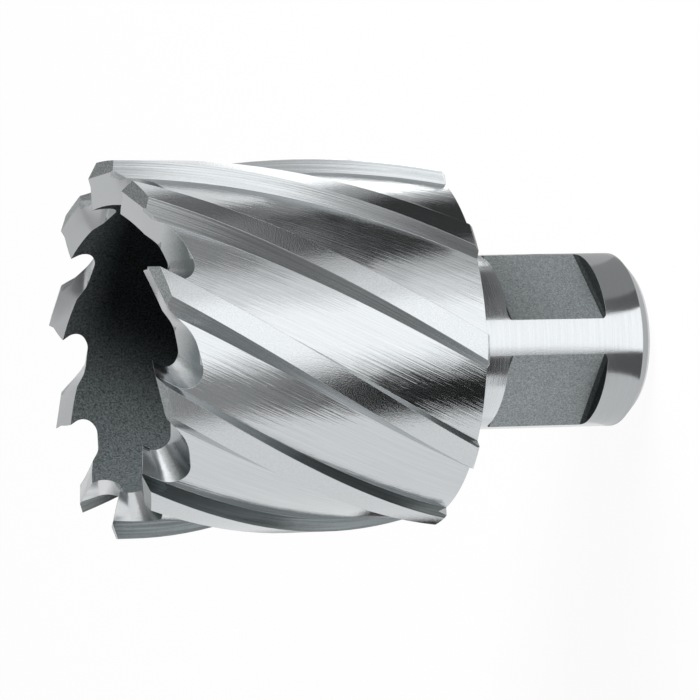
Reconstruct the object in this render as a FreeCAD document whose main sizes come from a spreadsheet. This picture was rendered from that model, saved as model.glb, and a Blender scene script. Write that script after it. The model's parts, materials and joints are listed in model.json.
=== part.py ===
import FreeCAD, Part

import math
import os

import Sketcher

# Annular cutter: a hollow core drill ground from one bar of high-speed steel.
# Ten cutting teeth ring the open end of a fluted tube, and the closed end
# carries a shank with two clamping flats. The part stands on the end face of
# its shank, with the axis on Z and the teeth up. Sizes are in millimetres and
# degrees.

SIZES = {
    "tooth_corner_height": 59.3,
    "grinding_allowance": 1.3,
    "shank_radius": 9.525,
    "shank_length": 23.75,
    "shank_chamfer": 1.5,
    "shank_root_chamfer": 0.8,
    "flat_start": 5.6,
    "flat_end": 17.2,
    "flat_to_axis": 7.95,
    "flat_corner_radius": 0.5,
    "cutting_radius": 20.0,
    "back_edge_chamfer": 0.35,
    "core_radius": 15.3,
    "core_floor": 28.0,
    "core_corner_chamfer": 1.2,
    "pilot_radius": 3.25,
    "pilot_countersink": 0.6,
    "tooth_count": 10,
    "tooth_phase": 2.34,
    "helix_lead": 216.9,
    "land_angle": 7.95,
    "heel_angle": 4.05,
    "wall_angle": 1.4,
    "floor_radius_front": 18.15,
    "floor_radius_back": 18.85,
    "bar_overrun": 1.5,
    "wall_overrun": 0.6,
    "edge_lag": 6.89,
    "inner_corner_rise": 0.11,
    "shoulder_offset": 3.43,
    "shoulder_rise": 0.7,
    "face_relief": 21.0,
    "corner_relief": 8.6,
    "relief_reach": 6.5,
    "grinding_clearance": 6.0,
    "gullet_top": 3.0,
}

# The gullet ahead of each tooth, at four stations along its cutting edge:
# distance outward from the inner corner, floor depth below the outer corner,
# distance ahead to the foot of the second relief, slope of that relief, the
# two radii that round the floor into the rake face and into the relief, then
# the rake face's height and place ahead at the cutting edge, and its lean.
# The last two stations keep the rake face flush with the flute's wall.
GULLET = {
    "core": (-3.5, 1.85, 2.6, 27.0, 1.0, 2.6, -0.5, -0.5, 30.0),
    "inner": (0.0, 2.85, 3.7, 38.0, 1.6, 2.8, 0.11, 0.0, 30.0),
    "crown": (2.5, 4.2, 3.8, 40.5, 2.0, 2.9, 0.6, -0.05, 22.8),
    "outer": (3.9, 4.95, 3.9, 42.0, 2.25, 3.0, 0.5, 0.11, 27.7),
}
GULLET_SIZES = (
    "offset",
    "depth",
    "width",
    "slope",
    "rake_radius",
    "relief_radius",
    "rake_height",
    "rake_ahead",
    "rake",
)

doc = FreeCAD.newDocument("annular_cutter")
sheet = doc.addObject("Spreadsheet::Sheet", "sizes")
cells = dict(SIZES)
for station, values in GULLET.items():
    for name, value in zip(GULLET_SIZES, values):
        cells[f"gullet_{name}_{station}"] = value
for row, (alias, value) in enumerate(cells.items(), start=1):
    sheet.set(f"A{row}", alias)
    sheet.set(f"B{row}", str(value))
    sheet.setAlias(f"B{row}", alias)
doc.recompute()


def size(alias):
    return float(sheet.get(alias))


def total(terms):
    """Sum of named sizes, where a leading minus takes the size away."""
    return sum(-size(t[1:]) if t.startswith("-") else size(t) for t in terms)


def formula(terms):
    """The same sum, written for an expression on a constraint."""
    signed = [f"- sizes.{t[1:]}" if t.startswith("-") else f"+ sizes.{t}" for t in terms]
    return " ".join(["0"] + signed)


def polar(radius, degrees, z):
    angle = math.radians(degrees)
    return FreeCAD.Vector(radius * math.cos(angle), radius * math.sin(angle), z)


def tan(degrees):
    return math.tan(math.radians(degrees))


TEETH = int(size("tooth_count"))
PITCH = 360.0 / TEETH
CORNER_Z = size("tooth_corner_height")
TURN_PER_MM = 360.0 / size("helix_lead")
HELIX_STEPS = 10


def add_sketch(body, name, plane, corners, rounds):
    """Closed outline on one of the body's upright planes.

    Each corner gives its two coordinates as lists of named sizes. A side that
    is listed in rounds is a quarter round instead of a straight line, and its
    entry gives the named radius and the centre in the same way.
    """
    sketch = body.newObject("Sketcher::SketchObject", name)
    origin = next(item for item in body.Origin.OriginFeatures if item.Role == plane)
    sketch.AttachmentSupport = [(origin, "")]
    sketch.MapMode = "FlatFace"
    points = [FreeCAD.Vector(total(across), total(up), 0) for across, up in corners]
    for side, start in enumerate(points):
        end = points[(side + 1) % len(points)]
        if side in rounds:
            sketch.addGeometry(quarter_round(start, end, rounds[side]))
        else:
            sketch.addGeometry(Part.LineSegment(start, end))
    for side, (across, up) in enumerate(corners):
        starts = start_vertex(sketch, side, points[side])
        bind(sketch, "DistanceX", side, starts, across)
        bind(sketch, "DistanceY", side, starts, up)
    for side in range(len(corners)):
        after = (side + 1) % len(corners)
        ends = 3 - start_vertex(sketch, side, points[side])
        starts = start_vertex(sketch, after, points[after])
        sketch.addConstraint(Sketcher.Constraint("Coincident", side, ends, after, starts))
    for side, (radius, _) in rounds.items():
        index = sketch.addConstraint(Sketcher.Constraint("Radius", side, size(radius)))
        sketch.setExpression(f"Constraints[{index}]", f"sizes.{radius}")
    return sketch


def quarter_round(start, end, spec):
    """Circular arc between two corners, about the centre that spec names."""
    _, (across, up) = spec
    centre = FreeCAD.Vector(total(across), total(up), 0)
    middle = (start + end) * 0.5 - centre
    middle.normalize()
    return Part.Arc(start, centre + middle * (start - centre).Length, end)


def start_vertex(sketch, side, point):
    """Vertex number, 1 or 2, of the end of a side that lies on the point."""
    near = (sketch.getPoint(side, 1) - point).Length
    far = (sketch.getPoint(side, 2) - point).Length
    return 1 if near < far else 2


def bind(sketch, kind, side, vertex, terms):
    """Hold one coordinate of a vertex to a sum of named sizes."""
    value = total(terms)
    constraint = Sketcher.Constraint(kind, -1, 1, side, vertex, value)
    index = sketch.addConstraint(constraint)
    sketch.setExpression(f"Constraints[{index}]", formula(terms))


# The turned blank: shank, web and tube as one half-section about the axis.
blank = doc.addObject("PartDesign::Body", "turned_blank")
blank.Label = "turned blank"
blank.Placement = FreeCAD.Placement()
half_section = add_sketch(
    blank,
    "half_section",
    "XZ_Plane",
    [
        (["pilot_radius", "pilot_countersink"], []),
        (["shank_radius", "-shank_chamfer"], []),
        (["shank_radius"], ["shank_chamfer"]),
        (["shank_radius"], ["flat_start", "flat_corner_radius"]),
        (["shank_radius"], ["flat_end", "-flat_corner_radius"]),
        (["shank_radius"], ["shank_length", "-shank_root_chamfer"]),
        (["shank_radius", "shank_root_chamfer"], ["shank_length"]),
        (["cutting_radius", "-back_edge_chamfer"], ["shank_length"]),
        (["cutting_radius"], ["shank_length", "back_edge_chamfer"]),
        (["cutting_radius"], ["tooth_corner_height", "grinding_allowance"]),
        (["core_radius"], ["tooth_corner_height", "grinding_allowance"]),
        (["core_radius"], ["core_floor", "core_corner_chamfer"]),
        (["core_radius", "-core_corner_chamfer"], ["core_floor"]),
        (["pilot_radius", "pilot_countersink"], ["core_floor"]),
        (["pilot_radius"], ["core_floor", "-pilot_countersink"]),
        (["pilot_radius"], ["pilot_countersink"]),
    ],
    {},
)
turning = blank.newObject("PartDesign::Revolution", "turning")
turning.Profile = half_section
turning.ReferenceAxis = (half_section, ["V_Axis"])
turning.Angle = 360
turning.Refine = False
blank.Tip = turning
doc.recompute()


def add_flat(name, plane):
    """Clamping flat milled across the shank, closed at both ends."""
    inner = ["flat_to_axis", "flat_corner_radius"]
    outline = add_sketch(
        blank,
        name + "_outline",
        plane,
        [
            (inner, ["flat_start"]),
            (["cutting_radius"], ["flat_start"]),
            (["cutting_radius"], ["flat_end"]),
            (inner, ["flat_end"]),
            (["flat_to_axis"], ["flat_end", "-flat_corner_radius"]),
            (["flat_to_axis"], ["flat_start", "flat_corner_radius"]),
        ],
        {
            3: ("flat_corner_radius", (inner, ["flat_end", "-flat_corner_radius"])),
            5: ("flat_corner_radius", (inner, ["flat_start", "flat_corner_radius"])),
        },
    )
    flat = blank.newObject("PartDesign::Pocket", name)
    flat.Profile = outline
    flat.SideType = "Symmetric"
    flat.Type = "Length"
    flat.setExpression("Length", "2 * sizes.cutting_radius")
    flat.Refine = False
    before = blank.Shape.Volume
    blank.Tip = flat
    doc.recompute()
    if blank.Shape.Volume >= before:
        raise RuntimeError(f"{name} removes nothing")


add_flat("set_screw_flat", "XZ_Plane")
add_flat("second_flat", "YZ_Plane")


def beyond(start, end):
    """Point past the end of a line, so that the bar's walls cut right through."""
    return end + (end - start).normalize() * size("wall_overrun")


def flute_section(z):
    """Outline of the fluted bar across the axis at one height.

    Its walls and heels run on past the land and the flute floor, which the
    turned blank and the flute core give as true round faces.
    """
    radius = size("cutting_radius")
    floor = size("floor_radius_front")
    lead = size("tooth_phase") - size("edge_lag") + TURN_PER_MM * (z - CORNER_Z)
    heel = PITCH - size("land_angle")
    corners = []
    for tooth in range(TEETH):
        at = lead + PITCH * tooth
        land_end = polar(radius, at, z)
        wall_foot = polar(floor, at + size("wall_angle"), z)
        heel_foot = polar(floor, at + heel - size("heel_angle"), z)
        land_start = polar(radius, at + heel, z)
        corners.append(beyond(wall_foot, land_end))
        corners.append(beyond(land_end, wall_foot))
        corners.append(beyond(land_start, heel_foot))
        corners.append(beyond(heel_foot, land_start))
    return Part.makePolygon(corners + corners[:1])


def fluted_bar(low, high):
    """Bar whose flutes wind about the axis, through evenly spaced sections."""
    rise = (high - low) / HELIX_STEPS
    sections = [flute_section(low + rise * step) for step in range(HELIX_STEPS + 1)]
    return Part.makeLoft(sections, True, False)


# The flutes wind as one bar. The shank has none, so a plain bar stands in
# for it below the back face.
flutes = doc.addObject("Part::Feature", "fluted_bar")
flutes.Label = "fluted bar"
flutes.Shape = fluted_bar(
    size("shank_length") - size("bar_overrun"), CORNER_Z + size("bar_overrun")
)
flute_core = doc.addObject("Part::Cone", "flute_core")
flute_core.Label = "flute core"
taper = (
    "(sizes.floor_radius_back - sizes.floor_radius_front)"
    " / (sizes.tooth_corner_height - sizes.shank_length) * sizes.bar_overrun"
)
flute_core.setExpression("Radius1", f"sizes.floor_radius_back + {taper}")
flute_core.setExpression("Radius2", f"sizes.floor_radius_front - {taper}")
flute_core.setExpression(
    "Height", "sizes.tooth_corner_height - sizes.shank_length + 2 * sizes.bar_overrun"
)
flute_core.setExpression("Placement.Base.z", "sizes.shank_length - sizes.bar_overrun")
shank_bar = doc.addObject("Part::Cylinder", "shank_bar")
shank_bar.Label = "shank bar"
shank_bar.setExpression("Radius", "(sizes.shank_radius + sizes.core_radius) / 2")
shank_bar.setExpression("Height", "sizes.shank_length")
bars = doc.addObject("Part::MultiFuse", "bars")
bars.Shapes = [flutes, flute_core, shank_bar]
bars.Refine = False
fluted_blank = doc.addObject("Part::Common", "fluted_blank")
fluted_blank.Label = "fluted blank"
fluted_blank.Refine = False
fluted_blank.Base = blank
fluted_blank.Tool = bars
doc.recompute()


def tooth_placement(tooth):
    """Frame at a tooth's inner corner: X out along the cutting edge in plan,
    Y the way the tooth travels, and Z up from the outer corner's height."""
    turn = size("tooth_phase") + PITCH * tooth
    inner = polar(size("core_radius"), turn, CORNER_Z)
    outer = polar(size("cutting_radius"), turn - size("edge_lag"), CORNER_Z)
    along = math.degrees(math.atan2(outer.y - inner.y, outer.x - inner.x))
    return FreeCAD.Placement(inner, FreeCAD.Rotation(FreeCAD.Vector(0, 0, 1), along))


def edge_length():
    inner = polar(size("core_radius"), size("edge_lag"), 0)
    return (polar(size("cutting_radius"), 0, 0) - inner).Length


def edge_points():
    """Inner corner, shoulder and outer corner of one cutting edge."""
    return (
        FreeCAD.Vector(0, 0, size("inner_corner_rise")),
        FreeCAD.Vector(size("shoulder_offset"), 0, size("shoulder_rise")),
        FreeCAD.Vector(edge_length(), 0, 0),
    )


def relief_block(start, end, relief):
    """Everything above the flat facet that falls away behind one stretch of
    the cutting edge."""
    rise_outward = (end.z - start.z) / (end.x - start.x)
    behind = -size("relief_reach")
    clear = size("grinding_clearance")
    far = edge_length() + clear
    corners = []
    for outward, ahead in ((-clear, behind), (far, behind), (far, clear), (-clear, clear)):
        height = start.z + rise_outward * (outward - start.x) + tan(relief) * ahead
        corners.append(FreeCAD.Vector(outward, ahead, height))
    facet = Part.Face(Part.makePolygon(corners + corners[:1]))
    return facet.extrude(FreeCAD.Vector(0, 0, clear))


def gullet_section(station):
    """Outline of the gullet at one station: rake face, rounded floor and the
    slope of the second relief up to the back of the tooth ahead."""
    offset = size(f"gullet_offset_{station}")
    depth = -size(f"gullet_depth_{station}")
    width = size(f"gullet_width_{station}")
    slope = size(f"gullet_slope_{station}")
    front = size(f"gullet_rake_radius_{station}")
    rear = size(f"gullet_relief_radius_{station}")
    rake = size(f"gullet_rake_{station}")
    edge = FreeCAD.Vector(
        offset, size(f"gullet_rake_ahead_{station}"), size(f"gullet_rake_height_{station}")
    )
    top = size("gullet_top")

    def at(ahead, height):
        return FreeCAD.Vector(offset, ahead, height)

    front_ahead = edge.y - (edge.z - depth - front) * tan(rake)
    front_ahead += front / math.cos(math.radians(rake))
    rear_ahead = width - rear * tan(slope / 2)
    rake_top = at(edge.y + (top - edge.z) * tan(rake), top)
    rake_foot = at(*round_point(front_ahead, depth + front, front, 180 - rake))
    floor_start = at(front_ahead, depth)
    floor_end = at(rear_ahead, depth)
    relief_foot = at(*round_point(rear_ahead, depth + rear, rear, slope - 90))
    relief_top = at(width + (top - depth) / tan(slope), top)
    front_mid = at(*round_point(front_ahead, depth + front, front, 225 - rake / 2))
    rear_mid = at(*round_point(rear_ahead, depth + rear, rear, slope / 2 - 90))
    return Part.Wire([
        Part.LineSegment(rake_top, rake_foot).toShape(),
        Part.Arc(rake_foot, front_mid, floor_start).toShape(),
        Part.LineSegment(floor_start, floor_end).toShape(),
        Part.Arc(floor_end, rear_mid, relief_foot).toShape(),
        Part.LineSegment(relief_foot, relief_top).toShape(),
        Part.LineSegment(relief_top, rake_top).toShape(),
    ])


def round_point(ahead, height, radius, degrees):
    angle = math.radians(degrees)
    return ahead + radius * math.cos(angle), height + radius * math.sin(angle)


def around(shape):
    """One copy of a tooth's grinding shape at every tooth."""
    copies = []
    for tooth in range(TEETH):
        copy = shape.copy()
        copy.Placement = tooth_placement(tooth)
        copies.append(copy)
    return copies


gullet = Part.makeLoft([gullet_section(station) for station in GULLET], True, True)
inner_corner, shoulder, outer_corner = edge_points()
face_facet = relief_block(inner_corner, shoulder, size("face_relief"))
corner_facet = relief_block(shoulder, outer_corner, size("corner_relief"))
gullets = doc.addObject("Part::Feature", "gullets")
gullets.Shape = Part.Compound(around(gullet))
reliefs = doc.addObject("Part::Feature", "reliefs")
reliefs.Shape = Part.Compound(around(face_facet) + around(corner_facet))

cutter = doc.addObject("Part::Feature", "cutter_body")
cutter.Label = "cutter body"
cutter.Shape = fluted_blank.Shape.cut(gullets.Shape.Solids + reliefs.Shape.Solids)
doc.recompute()

for item in doc.Objects:
    if "Invalid" in item.State or "Error" in item.State:
        raise RuntimeError(f"{item.Name} did not build")
    shape = getattr(item, "Shape", None)
    if shape is not None and not item.isDerivedFrom("App::Origin") and not shape.isNull():
        if not shape.isValid():
            raise RuntimeError(f"{item.Name} is not valid")

os.makedirs("parts", exist_ok=True)
cutter.Shape.exportStep("parts/cutter_body.step")
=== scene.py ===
import json
import math

import bmesh
import bpy
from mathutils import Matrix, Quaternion, Vector


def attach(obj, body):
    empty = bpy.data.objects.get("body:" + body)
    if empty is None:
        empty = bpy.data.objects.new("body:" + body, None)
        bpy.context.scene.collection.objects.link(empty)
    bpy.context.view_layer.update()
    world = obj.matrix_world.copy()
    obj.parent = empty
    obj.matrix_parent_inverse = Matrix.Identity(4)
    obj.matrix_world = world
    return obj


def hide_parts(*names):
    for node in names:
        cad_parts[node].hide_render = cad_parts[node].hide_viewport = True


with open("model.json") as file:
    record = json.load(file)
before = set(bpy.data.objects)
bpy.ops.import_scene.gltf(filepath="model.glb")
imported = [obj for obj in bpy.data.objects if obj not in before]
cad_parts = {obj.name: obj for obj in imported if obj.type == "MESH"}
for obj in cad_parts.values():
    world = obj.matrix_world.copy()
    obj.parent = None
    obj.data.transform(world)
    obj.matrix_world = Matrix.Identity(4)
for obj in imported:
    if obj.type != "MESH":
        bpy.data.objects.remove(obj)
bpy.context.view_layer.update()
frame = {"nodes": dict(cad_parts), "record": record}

MM = 0.001


# Camera. It stands to one side of the upright cutter, a little above the
# teeth, and is turned on its side, so that the cutter lies across the picture.
def heading(azimuth, rise):
    """Direction outward from the cutter's axis, in degrees."""
    azimuth, rise = math.radians(azimuth), math.radians(rise)
    level = Vector((math.cos(azimuth), math.sin(azimuth), 0)) * math.cos(rise)
    return level + Vector((0, 0, math.sin(rise)))


def facing(outward):
    """Rotation of a lamp or camera that looks back along a direction."""
    return (-outward).to_track_quat("-Z", "Y")


CAMERA_AZIMUTH, CAMERA_RISE, CAMERA_ROLL = 42.70, 20.99, -91.23
camera_target = Vector((7.13, 5.82, 35.37)) * MM
camera_distance = 467.9 * MM
camera_data = bpy.data.cameras.new("camera")
camera_data.sensor_width = 36.0
camera_data.lens = 227.98
camera = bpy.data.objects.new("camera", camera_data)
toward_camera = heading(CAMERA_AZIMUTH, CAMERA_RISE)
camera.location = camera_target + toward_camera * camera_distance
camera.rotation_mode = "QUATERNION"
camera.rotation_quaternion = facing(toward_camera) @ Quaternion(
    (0, 0, 1), math.radians(CAMERA_ROLL)
)
bpy.context.scene.collection.objects.link(camera)
bpy.context.scene.camera = camera


# Floor. One wide pale sheet that the cutter stands on. It shows nearly white
# and keeps the cutter's soft shadow.
class Signal:
    """One output in a node tree, on which plain sums add Math nodes."""

    def __init__(self, tree, socket=None):
        self.tree = tree
        self.socket = socket

    def node(self, kind, settings, inputs, output=0):
        """Add a node, set it up, then fill its inputs with values or links."""
        made = self.tree.nodes.new(kind)
        for name, value in settings.items():
            setattr(made, name, value)
        for name, value in inputs.items():
            if isinstance(value, Signal):
                self.tree.links.new(value.socket, made.inputs[name])
            else:
                made.inputs[name].default_value = value
        return Signal(self.tree, made.outputs[output] if made.outputs else None)

    def other(self, output):
        """Another output of the same node."""
        return Signal(self.tree, self.socket.node.outputs[output])

    def math(self, operation, *terms):
        inputs = dict(enumerate(terms))
        return self.node("ShaderNodeMath", {"operation": operation}, inputs)

    def __add__(self, other):
        return self.math("ADD", self, other)

    def __radd__(self, other):
        return self.math("ADD", other, self)

    def __sub__(self, other):
        return self.math("SUBTRACT", self, other)

    def __mul__(self, other):
        return self.math("MULTIPLY", self, other)

    def __truediv__(self, other):
        return self.math("DIVIDE", self, other)


def empty_tree(owner):
    owner.use_nodes = True
    owner.node_tree.nodes.clear()
    return Signal(owner.node_tree)


def seen_white(graph):
    """Share of the rays that should meet a white studio: what the camera sees
    itself, in bright metal and through clear things."""
    path = graph.node("ShaderNodeLightPath", {}, {})
    mirrored = graph.math(
        "MAXIMUM", path.other("Is Glossy Ray"), path.other("Is Transmission Ray")
    )
    return graph.math("MAXIMUM", path.other("Is Camera Ray"), mirrored)


def plain_mesh(name, points, faces, material):
    mesh = bpy.data.meshes.new(name)
    mesh.from_pydata(points, [], faces)
    mesh.materials.append(material)
    made = bpy.data.objects.new(name, mesh)
    bpy.context.scene.collection.objects.link(made)
    return made


floor_reach, floor_tone, floor_white = 6.0, 0.85, 0.95
floor_material = bpy.data.materials.new("pale_floor")
graph = empty_tree(floor_material)
sheet = graph.node(
    "ShaderNodeBsdfDiffuse", {}, {"Color": (floor_tone, floor_tone, floor_tone, 1)}
)
white = graph.node("ShaderNodeEmission", {}, {"Strength": 1.0})
shares = {0: seen_white(graph) * floor_white, 1: sheet, 2: white}
graph.node("ShaderNodeOutputMaterial", {}, {
    "Surface": graph.node("ShaderNodeMixShader", {}, shares),
})
floor_corners = [
    (-floor_reach, -floor_reach, 0),
    (floor_reach, -floor_reach, 0),
    (floor_reach, floor_reach, 0),
    (-floor_reach, floor_reach, 0),
]
plain_mesh("floor", floor_corners, [(0, 1, 2, 3)], floor_material)


# Studio light. Three soft boxes and an even sky light what is matt, and the
# bright metal shows the cards below instead. Turns are in degrees from the
# camera about the cutter's axis, and rises in degrees from the floor.
SOFTBOXES = {
    "softbox_low": {"turn": -40, "rise": 4, "size": (0.5, 0.1), "strength": 5.0},
    "softbox_key": {"turn": 80, "rise": 36, "size": (0.4, 0.4), "strength": 5.5},
    "softbox_top": {"turn": 0, "rise": 90, "size": (0.6, 0.6), "strength": 0.1},
}
softbox_distance, watts_per_area = 0.8, 4 * math.pi
sky, studio_white = 0.05, 0.85
cutter_middle = Vector((0, 0, 30)) * MM
for name, box in SOFTBOXES.items():
    lamp = bpy.data.lights.new(name, "AREA")
    lamp.shape = "RECTANGLE"
    lamp.size, lamp.size_y = box["size"]
    lamp.energy = box["strength"] * watts_per_area * lamp.size * lamp.size_y
    softbox = bpy.data.objects.new(name, lamp)
    outward = heading(CAMERA_AZIMUTH + box["turn"], box["rise"])
    softbox.location = cutter_middle + outward * softbox_distance
    softbox.rotation_mode = "QUATERNION"
    softbox.rotation_quaternion = facing(outward)
    softbox.visible_glossy = False
    bpy.context.scene.collection.objects.link(softbox)

world = bpy.data.worlds.new("studio")
graph = empty_tree(world)
even = graph.node("ShaderNodeBackground", {}, {"Strength": sky})
white = graph.node("ShaderNodeBackground", {}, {"Strength": 1.0})
shares = {0: seen_white(graph) * studio_white, 1: even, 2: white}
graph.node("ShaderNodeOutputWorld", {}, {
    "Surface": graph.node("ShaderNodeMixShader", {}, shares),
})
bpy.context.scene.world = world


# Studio cards. White, grey and black cards lie on the floor and stand around
# the cutter, as they do when bright metal is photographed, and only the metal
# shows them. Each spans a range of turns from the camera. Those that lie down
# also span distances from the axis in millimetres, and the others rises.
LYING_CARDS = {
    "end_grey": ((-180, 180), (8.3, 11), 0.6),
    "front_white": ((-9, 26), (11, 300), 1.5),
    "front_grey": ((26, 41), (70, 90), 1.1),
    "front_pale": ((26, 41), (90, 300), 1.0),
    "under_upper": ((26, 150), (24, 50), 0.3),
    "under_lower": ((-55, -12), (24, 50), 0.3),
    "under_side": ((-110, -55), (24, 50), 1.2),
    "upper_end_dark": ((26, 42), (11, 24), 0.15),
    "upper_end": ((42, 90), (11, 24), 0.32),
    "upper_end_pale": ((90, 150), (11, 24), 0.5),
    "upper_root": ((26, 98), (50, 70), 0.06),
    "upper_grey": ((41, 57), (70, 90), 0.65),
    "upper_black": ((57, 100), (70, 90), 0.05),
    "upper_pale": ((41, 51), (90, 300), 0.7),
    "upper_far_black": ((51, 94), (90, 140), 0.05),
    "upper_far_grey": ((51, 80), (140, 300), 0.35),
    "upper_far_dark": ((80, 104), (140, 300), 0.2),
    "upper_back": ((98, 110), (50, 90), 0.6),
    "upper_far_back": ((94, 108), (90, 140), 0.5),
    "behind_white": ((110, 150), (50, 90), 3.0),
    "behind_pale": ((108, 160), (90, 140), 1.8),
    "lower_end": ((-34, -11), (11, 24), 0.12),
    "lower_end_pale": ((-110, -34), (11, 24), 0.72),
    "lower_black": ((-41, -16), (50, 140), 0.02),
    "lower_grey": ((-43, -16), (140, 300), 0.35),
    "behind_black": ((-150, -127), (62, 92), 0.02),
    "behind_grey": ((-175, -150), (50, 300), 0.5),
}
STANDING_CARDS = {
    "standing_side": ((-95, -60), (14, 78), 0.35),
    "standing_dark": ((-60, -22), (18, 78), 0.22),
    "standing_grey": ((-22, -6), (18, 78), 0.5),
    "standing_white": ((8, 56), (0, 60), 1.5),
    "standing_pale": ((56, 70), (0, 70), 0.9),
    "standing_black": ((122, 147), (12, 48), 0.08),
    "standing_upper": ((100, 154), (48, 88), 0.4),
    "standing_back": ((162, 176), (15, 72), 0.6),
}
card_distance, card_lift = 300.0, 0.2
turn_step, rise_step = 4, 12


def add_card(name, turns, profile, brightness):
    """Card swept through a range of turns from its profile of distances and heights."""
    material = bpy.data.materials.new(name)
    graph = empty_tree(material)
    face = graph.node("ShaderNodeEmission", {}, {"Strength": brightness})
    graph.node("ShaderNodeOutputMaterial", {}, {"Surface": face})
    steps = math.ceil((turns[1] - turns[0]) / turn_step)
    points, faces = [], []
    for step in range(steps + 1):
        turn = CAMERA_AZIMUTH + turns[0] + (turns[1] - turns[0]) * step / steps
        level = heading(turn, 0)
        points += [(level * far + Vector((0, 0, up))) * MM for far, up in profile]
    row = len(profile)
    for at in range(steps * row):
        if (at + 1) % row:
            faces.append((at, at + 1, at + row + 1, at + row))
    card = plain_mesh(name, points, faces, material)
    card.visible_camera = False
    card.visible_diffuse = False
    card.visible_shadow = False
    card.visible_transmission = False


for name, (turns, (near, far), brightness) in LYING_CARDS.items():
    add_card(name, turns, [(near, card_lift), (far, card_lift)], brightness)
for name, (turns, (low, high), brightness) in STANDING_CARDS.items():
    steps = math.ceil((high - low) / rise_step)
    profile = []
    for step in range(steps + 1):
        rise = math.radians(low + (high - low) * step / steps)
        profile.append((card_distance * math.cos(rise), card_distance * math.sin(rise)))
    add_card(name, turns, profile, brightness)


# Cutter. One bar of high-speed steel, turned, fluted, hardened and then
# ground. It stands on its shank end. The solid is kept as it is, and each
# face takes the finish of the work that made it.
MOUNTS = {mount["name"]: mount for mount in frame["record"]["mounts"]}
SHANK_R = MOUNTS["shank"]["dims"]["r_mm"]
CORE_R = MOUNTS["core_bore"]["dims"]["r_mm"]
PILOT_R = MOUNTS["pilot_bore"]["dims"]["r_mm"]
FLAT_X = MOUNTS["clamping_flat"]["pos_m"][0] / MM
CUT_R, FLUTE_R = 20.0, 18.13
HELIX_LEAD, STREAK_LEAD = 216.9, 245.0
BACK_Z, WEB_Z, GULLET_Z = 23.75, 27.5, 53.0
ROOT_Z, RELIEF_Z, SHADE_TOP_Z = 55.2, 56.9, 57.3
edge_round = 0.06
finishes = {}


def place(graph):
    """Place on the cutter in millimetres."""
    point = graph.node("ShaderNodeTexCoord", {}, {}, "Object")
    split = graph.node("ShaderNodeSeparateXYZ", {}, {0: point})
    return [split.other(axis) / MM for axis in "XYZ"]


def unwound(spot, lead):
    """The same place once the flutes are wound back straight."""
    x, y, z = spot
    angle = z * (-2 * math.pi / lead)
    cosine, sine = x.math("COSINE", angle), x.math("SINE", angle)
    return x * cosine - y * sine, x * sine + y * cosine, z


def noise(graph, spot, across, along, detail=2.0):
    """Fractal noise around 0.5, with so many grains to a millimetre across the
    cutter's axis and along it."""
    x, y, z = spot
    grains = {0: x * across, 1: y * across, 2: z * along}
    return graph.node("ShaderNodeTexNoise", {}, {
        "Vector": graph.node("ShaderNodeCombineXYZ", {}, grains),
        "Scale": 1.0,
        "Detail": detail,
        "Roughness": 0.6,
    })


def crisp(value, low, high):
    """Value stretched from 0 at low to 1 at high, and held there."""
    limits = {0: value, 1: low, 2: high, 3: 0.0, 4: 1.0}
    return value.node("ShaderNodeMapRange", {"clamp": True}, limits)


def tinted(tone):
    """Colour of steel at a tone. It is a little blue, and greener when dark."""
    red, more_red, blue = 0.84, 0.2, 1.02
    return tone * (red + more_red * tone), tone, tone * blue, 1.0


def steel(graph, relief, height, tones, rough, bare=1.0, gloss=0.5):
    """Steel whose tone, roughness and surface all follow one ground pattern.

    Tones and rough give the value in the hollows and on the ridges. Bare is 1
    for clean metal and less under a skin of oxide, which has its own gloss.
    """
    ridge = crisp(relief, 0.25, 0.75)
    colours = {0: ridge, 6: tinted(tones[0]), 7: tinted(tones[1])}
    colour = graph.node("ShaderNodeMix", {"data_type": "RGBA"}, colours, 2)
    rounded = graph.node("ShaderNodeBevel", {"samples": 4}, {"Radius": edge_round * MM})
    bump = graph.node("ShaderNodeBump", {}, {
        "Strength": 1.0,
        "Distance": height * MM,
        "Height": relief,
        "Normal": rounded,
    })
    surface = graph.node("ShaderNodeBsdfPrincipled", {}, {
        "Base Color": colour,
        "Metallic": bare,
        "Specular IOR Level": gloss,
        "Roughness": rough[0] + ridge * (rough[1] - rough[0]),
        "Normal": bump,
    })
    graph.node("ShaderNodeOutputMaterial", {}, {"Surface": surface})


def new_finish(name):
    """Nodes of a new finish, and the place on the cutter that they start from."""
    material = bpy.data.materials.new("ground_" + name)
    graph = empty_tree(material)
    finishes[name] = material
    return graph, place(graph)


# Flute floors: form-ground along the helix, so they carry long fine streaks.
graph, spot = new_finish("flute")
fine = noise(graph, unwound(spot, STREAK_LEAD), across=5.5, along=0.05, detail=3.0)
grain = noise(graph, spot, across=8, along=8)
pattern = fine * 0.85 + grain * 0.15
steel(graph, pattern, height=0.021, tones=(0.55, 0.64), rough=(0.15, 0.1))

# Leading walls: streaked by the side of the same wheel. Their dark tone is painted
# shade.
graph, spot = new_finish("wall")
fine = noise(graph, unwound(spot, HELIX_LEAD), across=5, along=0.07)
grain = noise(graph, spot, across=8, along=8)
pattern = fine * 0.7 + grain * 0.3
steel(graph, pattern, height=0.025, tones=(0.08, 0.3), rough=(0.2, 0.14))

# Heel slopes behind the lands: bright, with the same streaks.
graph, spot = new_finish("heel")
fine = noise(graph, unwound(spot, HELIX_LEAD), across=5, along=0.05, detail=3.0)
grain = noise(graph, spot, across=8, along=8)
pattern = fine * 0.8 + grain * 0.2
steel(graph, pattern, height=0.03, tones=(0.4, 0.7), rough=(0.24, 0.16))

# Lands: cylindrically ground to size, with a fine even speckle.
graph, spot = new_finish("land")
grain = noise(graph, spot, across=7, along=7, detail=3.0)
steel(graph, grain, height=0.013, tones=(0.54, 0.64), rough=(0.13, 0.09))

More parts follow.
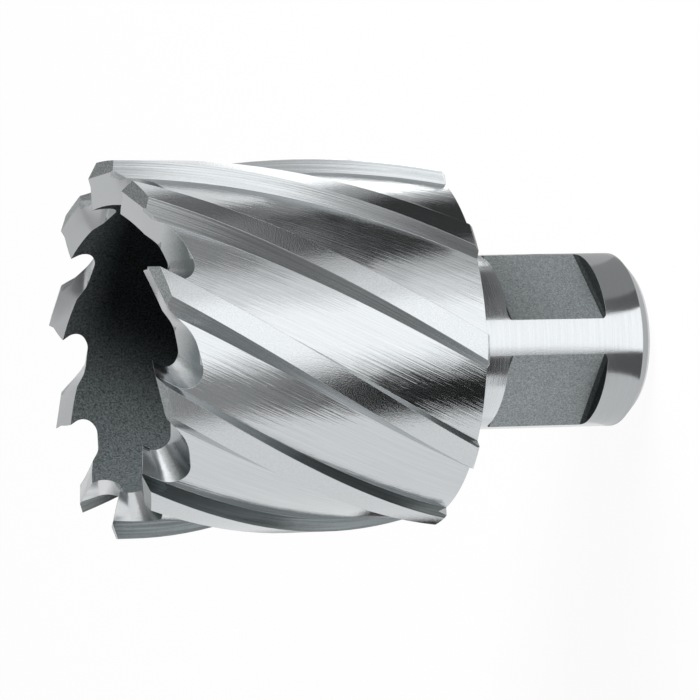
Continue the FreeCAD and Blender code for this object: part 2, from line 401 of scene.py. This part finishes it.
# Shank: ground all round to fit the socket, with faint rings.
graph, spot = new_finish("shank")
rings = noise(graph, spot, across=0.1, along=8)
grain = noise(graph, spot, across=8, along=8)
pattern = rings * 0.55 + grain * 0.45
steel(graph, pattern, height=0.011, tones=(0.56, 0.64), rough=(0.2, 0.14))

# Relief facets and gullets: ground with a fine wheel, satin and almost even,
# and darker toward the gullet's root, which is painted shade of the hollow.
graph, spot = new_finish("gullet")
lines = noise(graph, spot, across=7, along=0.6)
# Painted shade: the tone darkens from this height down to the gullet's root.
past_root_shade = crisp(spot[2], ROOT_Z, SHADE_TOP_Z)
pattern = lines * 0.3 + past_root_shade * 0.7
steel(graph, pattern, height=0.002, tones=(0.26, 0.66), rough=(0.3, 0.24))

# Corner facets, where the same grinding shows as a darker hatch.
graph, spot = new_finish("corner")
lines = noise(graph, spot, across=7, along=0.6)
steel(graph, lines, height=0.012, tones=(0.2, 0.55), rough=(0.32, 0.24))

# Bore: left from turning and hardening, with a dark grainy skin.
graph, spot = new_finish("bore")
grain = noise(graph, spot, across=5, along=5, detail=3.0)
skin = {"bare": 0.0, "gloss": 0.0}
steel(graph, grain, height=0.04, tones=(0.02, 0.18), rough=(0.6, 0.5), **skin)

# Clamping flats: milled and left matt. The near-black tone of their end walls is
# painted shade.
graph, spot = new_finish("flat")
grain = noise(graph, spot, across=6, along=6, detail=3.0)
steel(graph, grain, height=0.02, tones=(0.12, 0.4), rough=(0.5, 0.4), bare=0.6)
# End walls of the flats: their near-black tone is painted shade in the step.
graph, spot = new_finish("flat_end")
grain = noise(graph, spot, across=6, along=6, detail=3.0)
steel(graph, grain, height=0.015, tones=(0.015, 0.09), rough=(0.5, 0.4), bare=0.8)


def shank_finish(centre, normal):
    """Name of the finish on a face of the shank, its flats among them."""
    flat_low, flat_high, hair = 5.0, 17.8, 0.1
    if max(normal.x, normal.y) > 0.999 and max(centre.x, centre.y) < FLAT_X + hair:
        return "flat"
    if abs(normal.z) > 0.05 and flat_low < centre.z < flat_high:
        return "flat_end"
    return "shank"


def finish_of(centre, normal):
    """Name of the finish on a face of the solid, from where it is and faces."""
    hair, back_edge, land_depth = 0.01, 0.4, 0.5
    sink, sink_top, root_round, floor_round = 0.7, 0.8, 0.9, 3.0
    radius = math.hypot(centre.x, centre.y)
    out = Vector((centre.x / radius, centre.y / radius, 0))
    outward = normal.dot(out)
    ahead = normal.dot(Vector((-out.y, out.x, 0)))
    if centre.z < BACK_Z + hair and PILOT_R + sink < radius < SHANK_R + root_round:
        return shank_finish(centre, normal)
    faces_axis = outward < -0.3 or radius < PILOT_R + sink_top
    if radius < CORE_R + hair and normal.z < 0.9999 and faces_axis:
        return "bore"
    if radius < CORE_R and WEB_Z < centre.z < WEB_Z + floor_round:
        return "bore"
    if centre.z < BACK_Z + back_edge:
        return "land"
    if outward > 0.9 and radius > CUT_R - land_depth:
        return "land"
    if centre.z > RELIEF_Z and normal.z > 0.85:
        return "corner" if outward > 0.1 else "gullet"
    if outward > 0.9:
        return "flute"
    if centre.z > GULLET_Z and radius < FLUTE_R:
        return "gullet"
    return "wall" if ahead > 0 else "heel"


merge_reach, crease = 0.002 * MM, math.radians(22)
mesh = frame["nodes"]["cutter_body"].data.copy()
mesh.name = "ground_cutter"
merged = bmesh.new()
merged.from_mesh(mesh)
bmesh.ops.remove_doubles(merged, verts=merged.verts, dist=merge_reach)
order = list(finishes)
for face in merged.faces:
    face.smooth = True
    finish = finish_of(face.calc_center_median() / MM, face.normal)
    face.material_index = order.index(finish)
for edge in merged.edges:
    if len(edge.link_faces) == 2:
        edge.smooth = edge.calc_face_angle(0) < crease
mesh.materials.clear()
merged.to_mesh(mesh)
merged.free()
for name in order:
    mesh.materials.append(finishes[name])
cutter = bpy.data.objects.new("ground_cutter", mesh)
bpy.context.scene.collection.objects.link(cutter)
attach(cutter, "root")
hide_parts("cutter_body")

bpy.context.scene.view_settings.view_transform = "Standard"
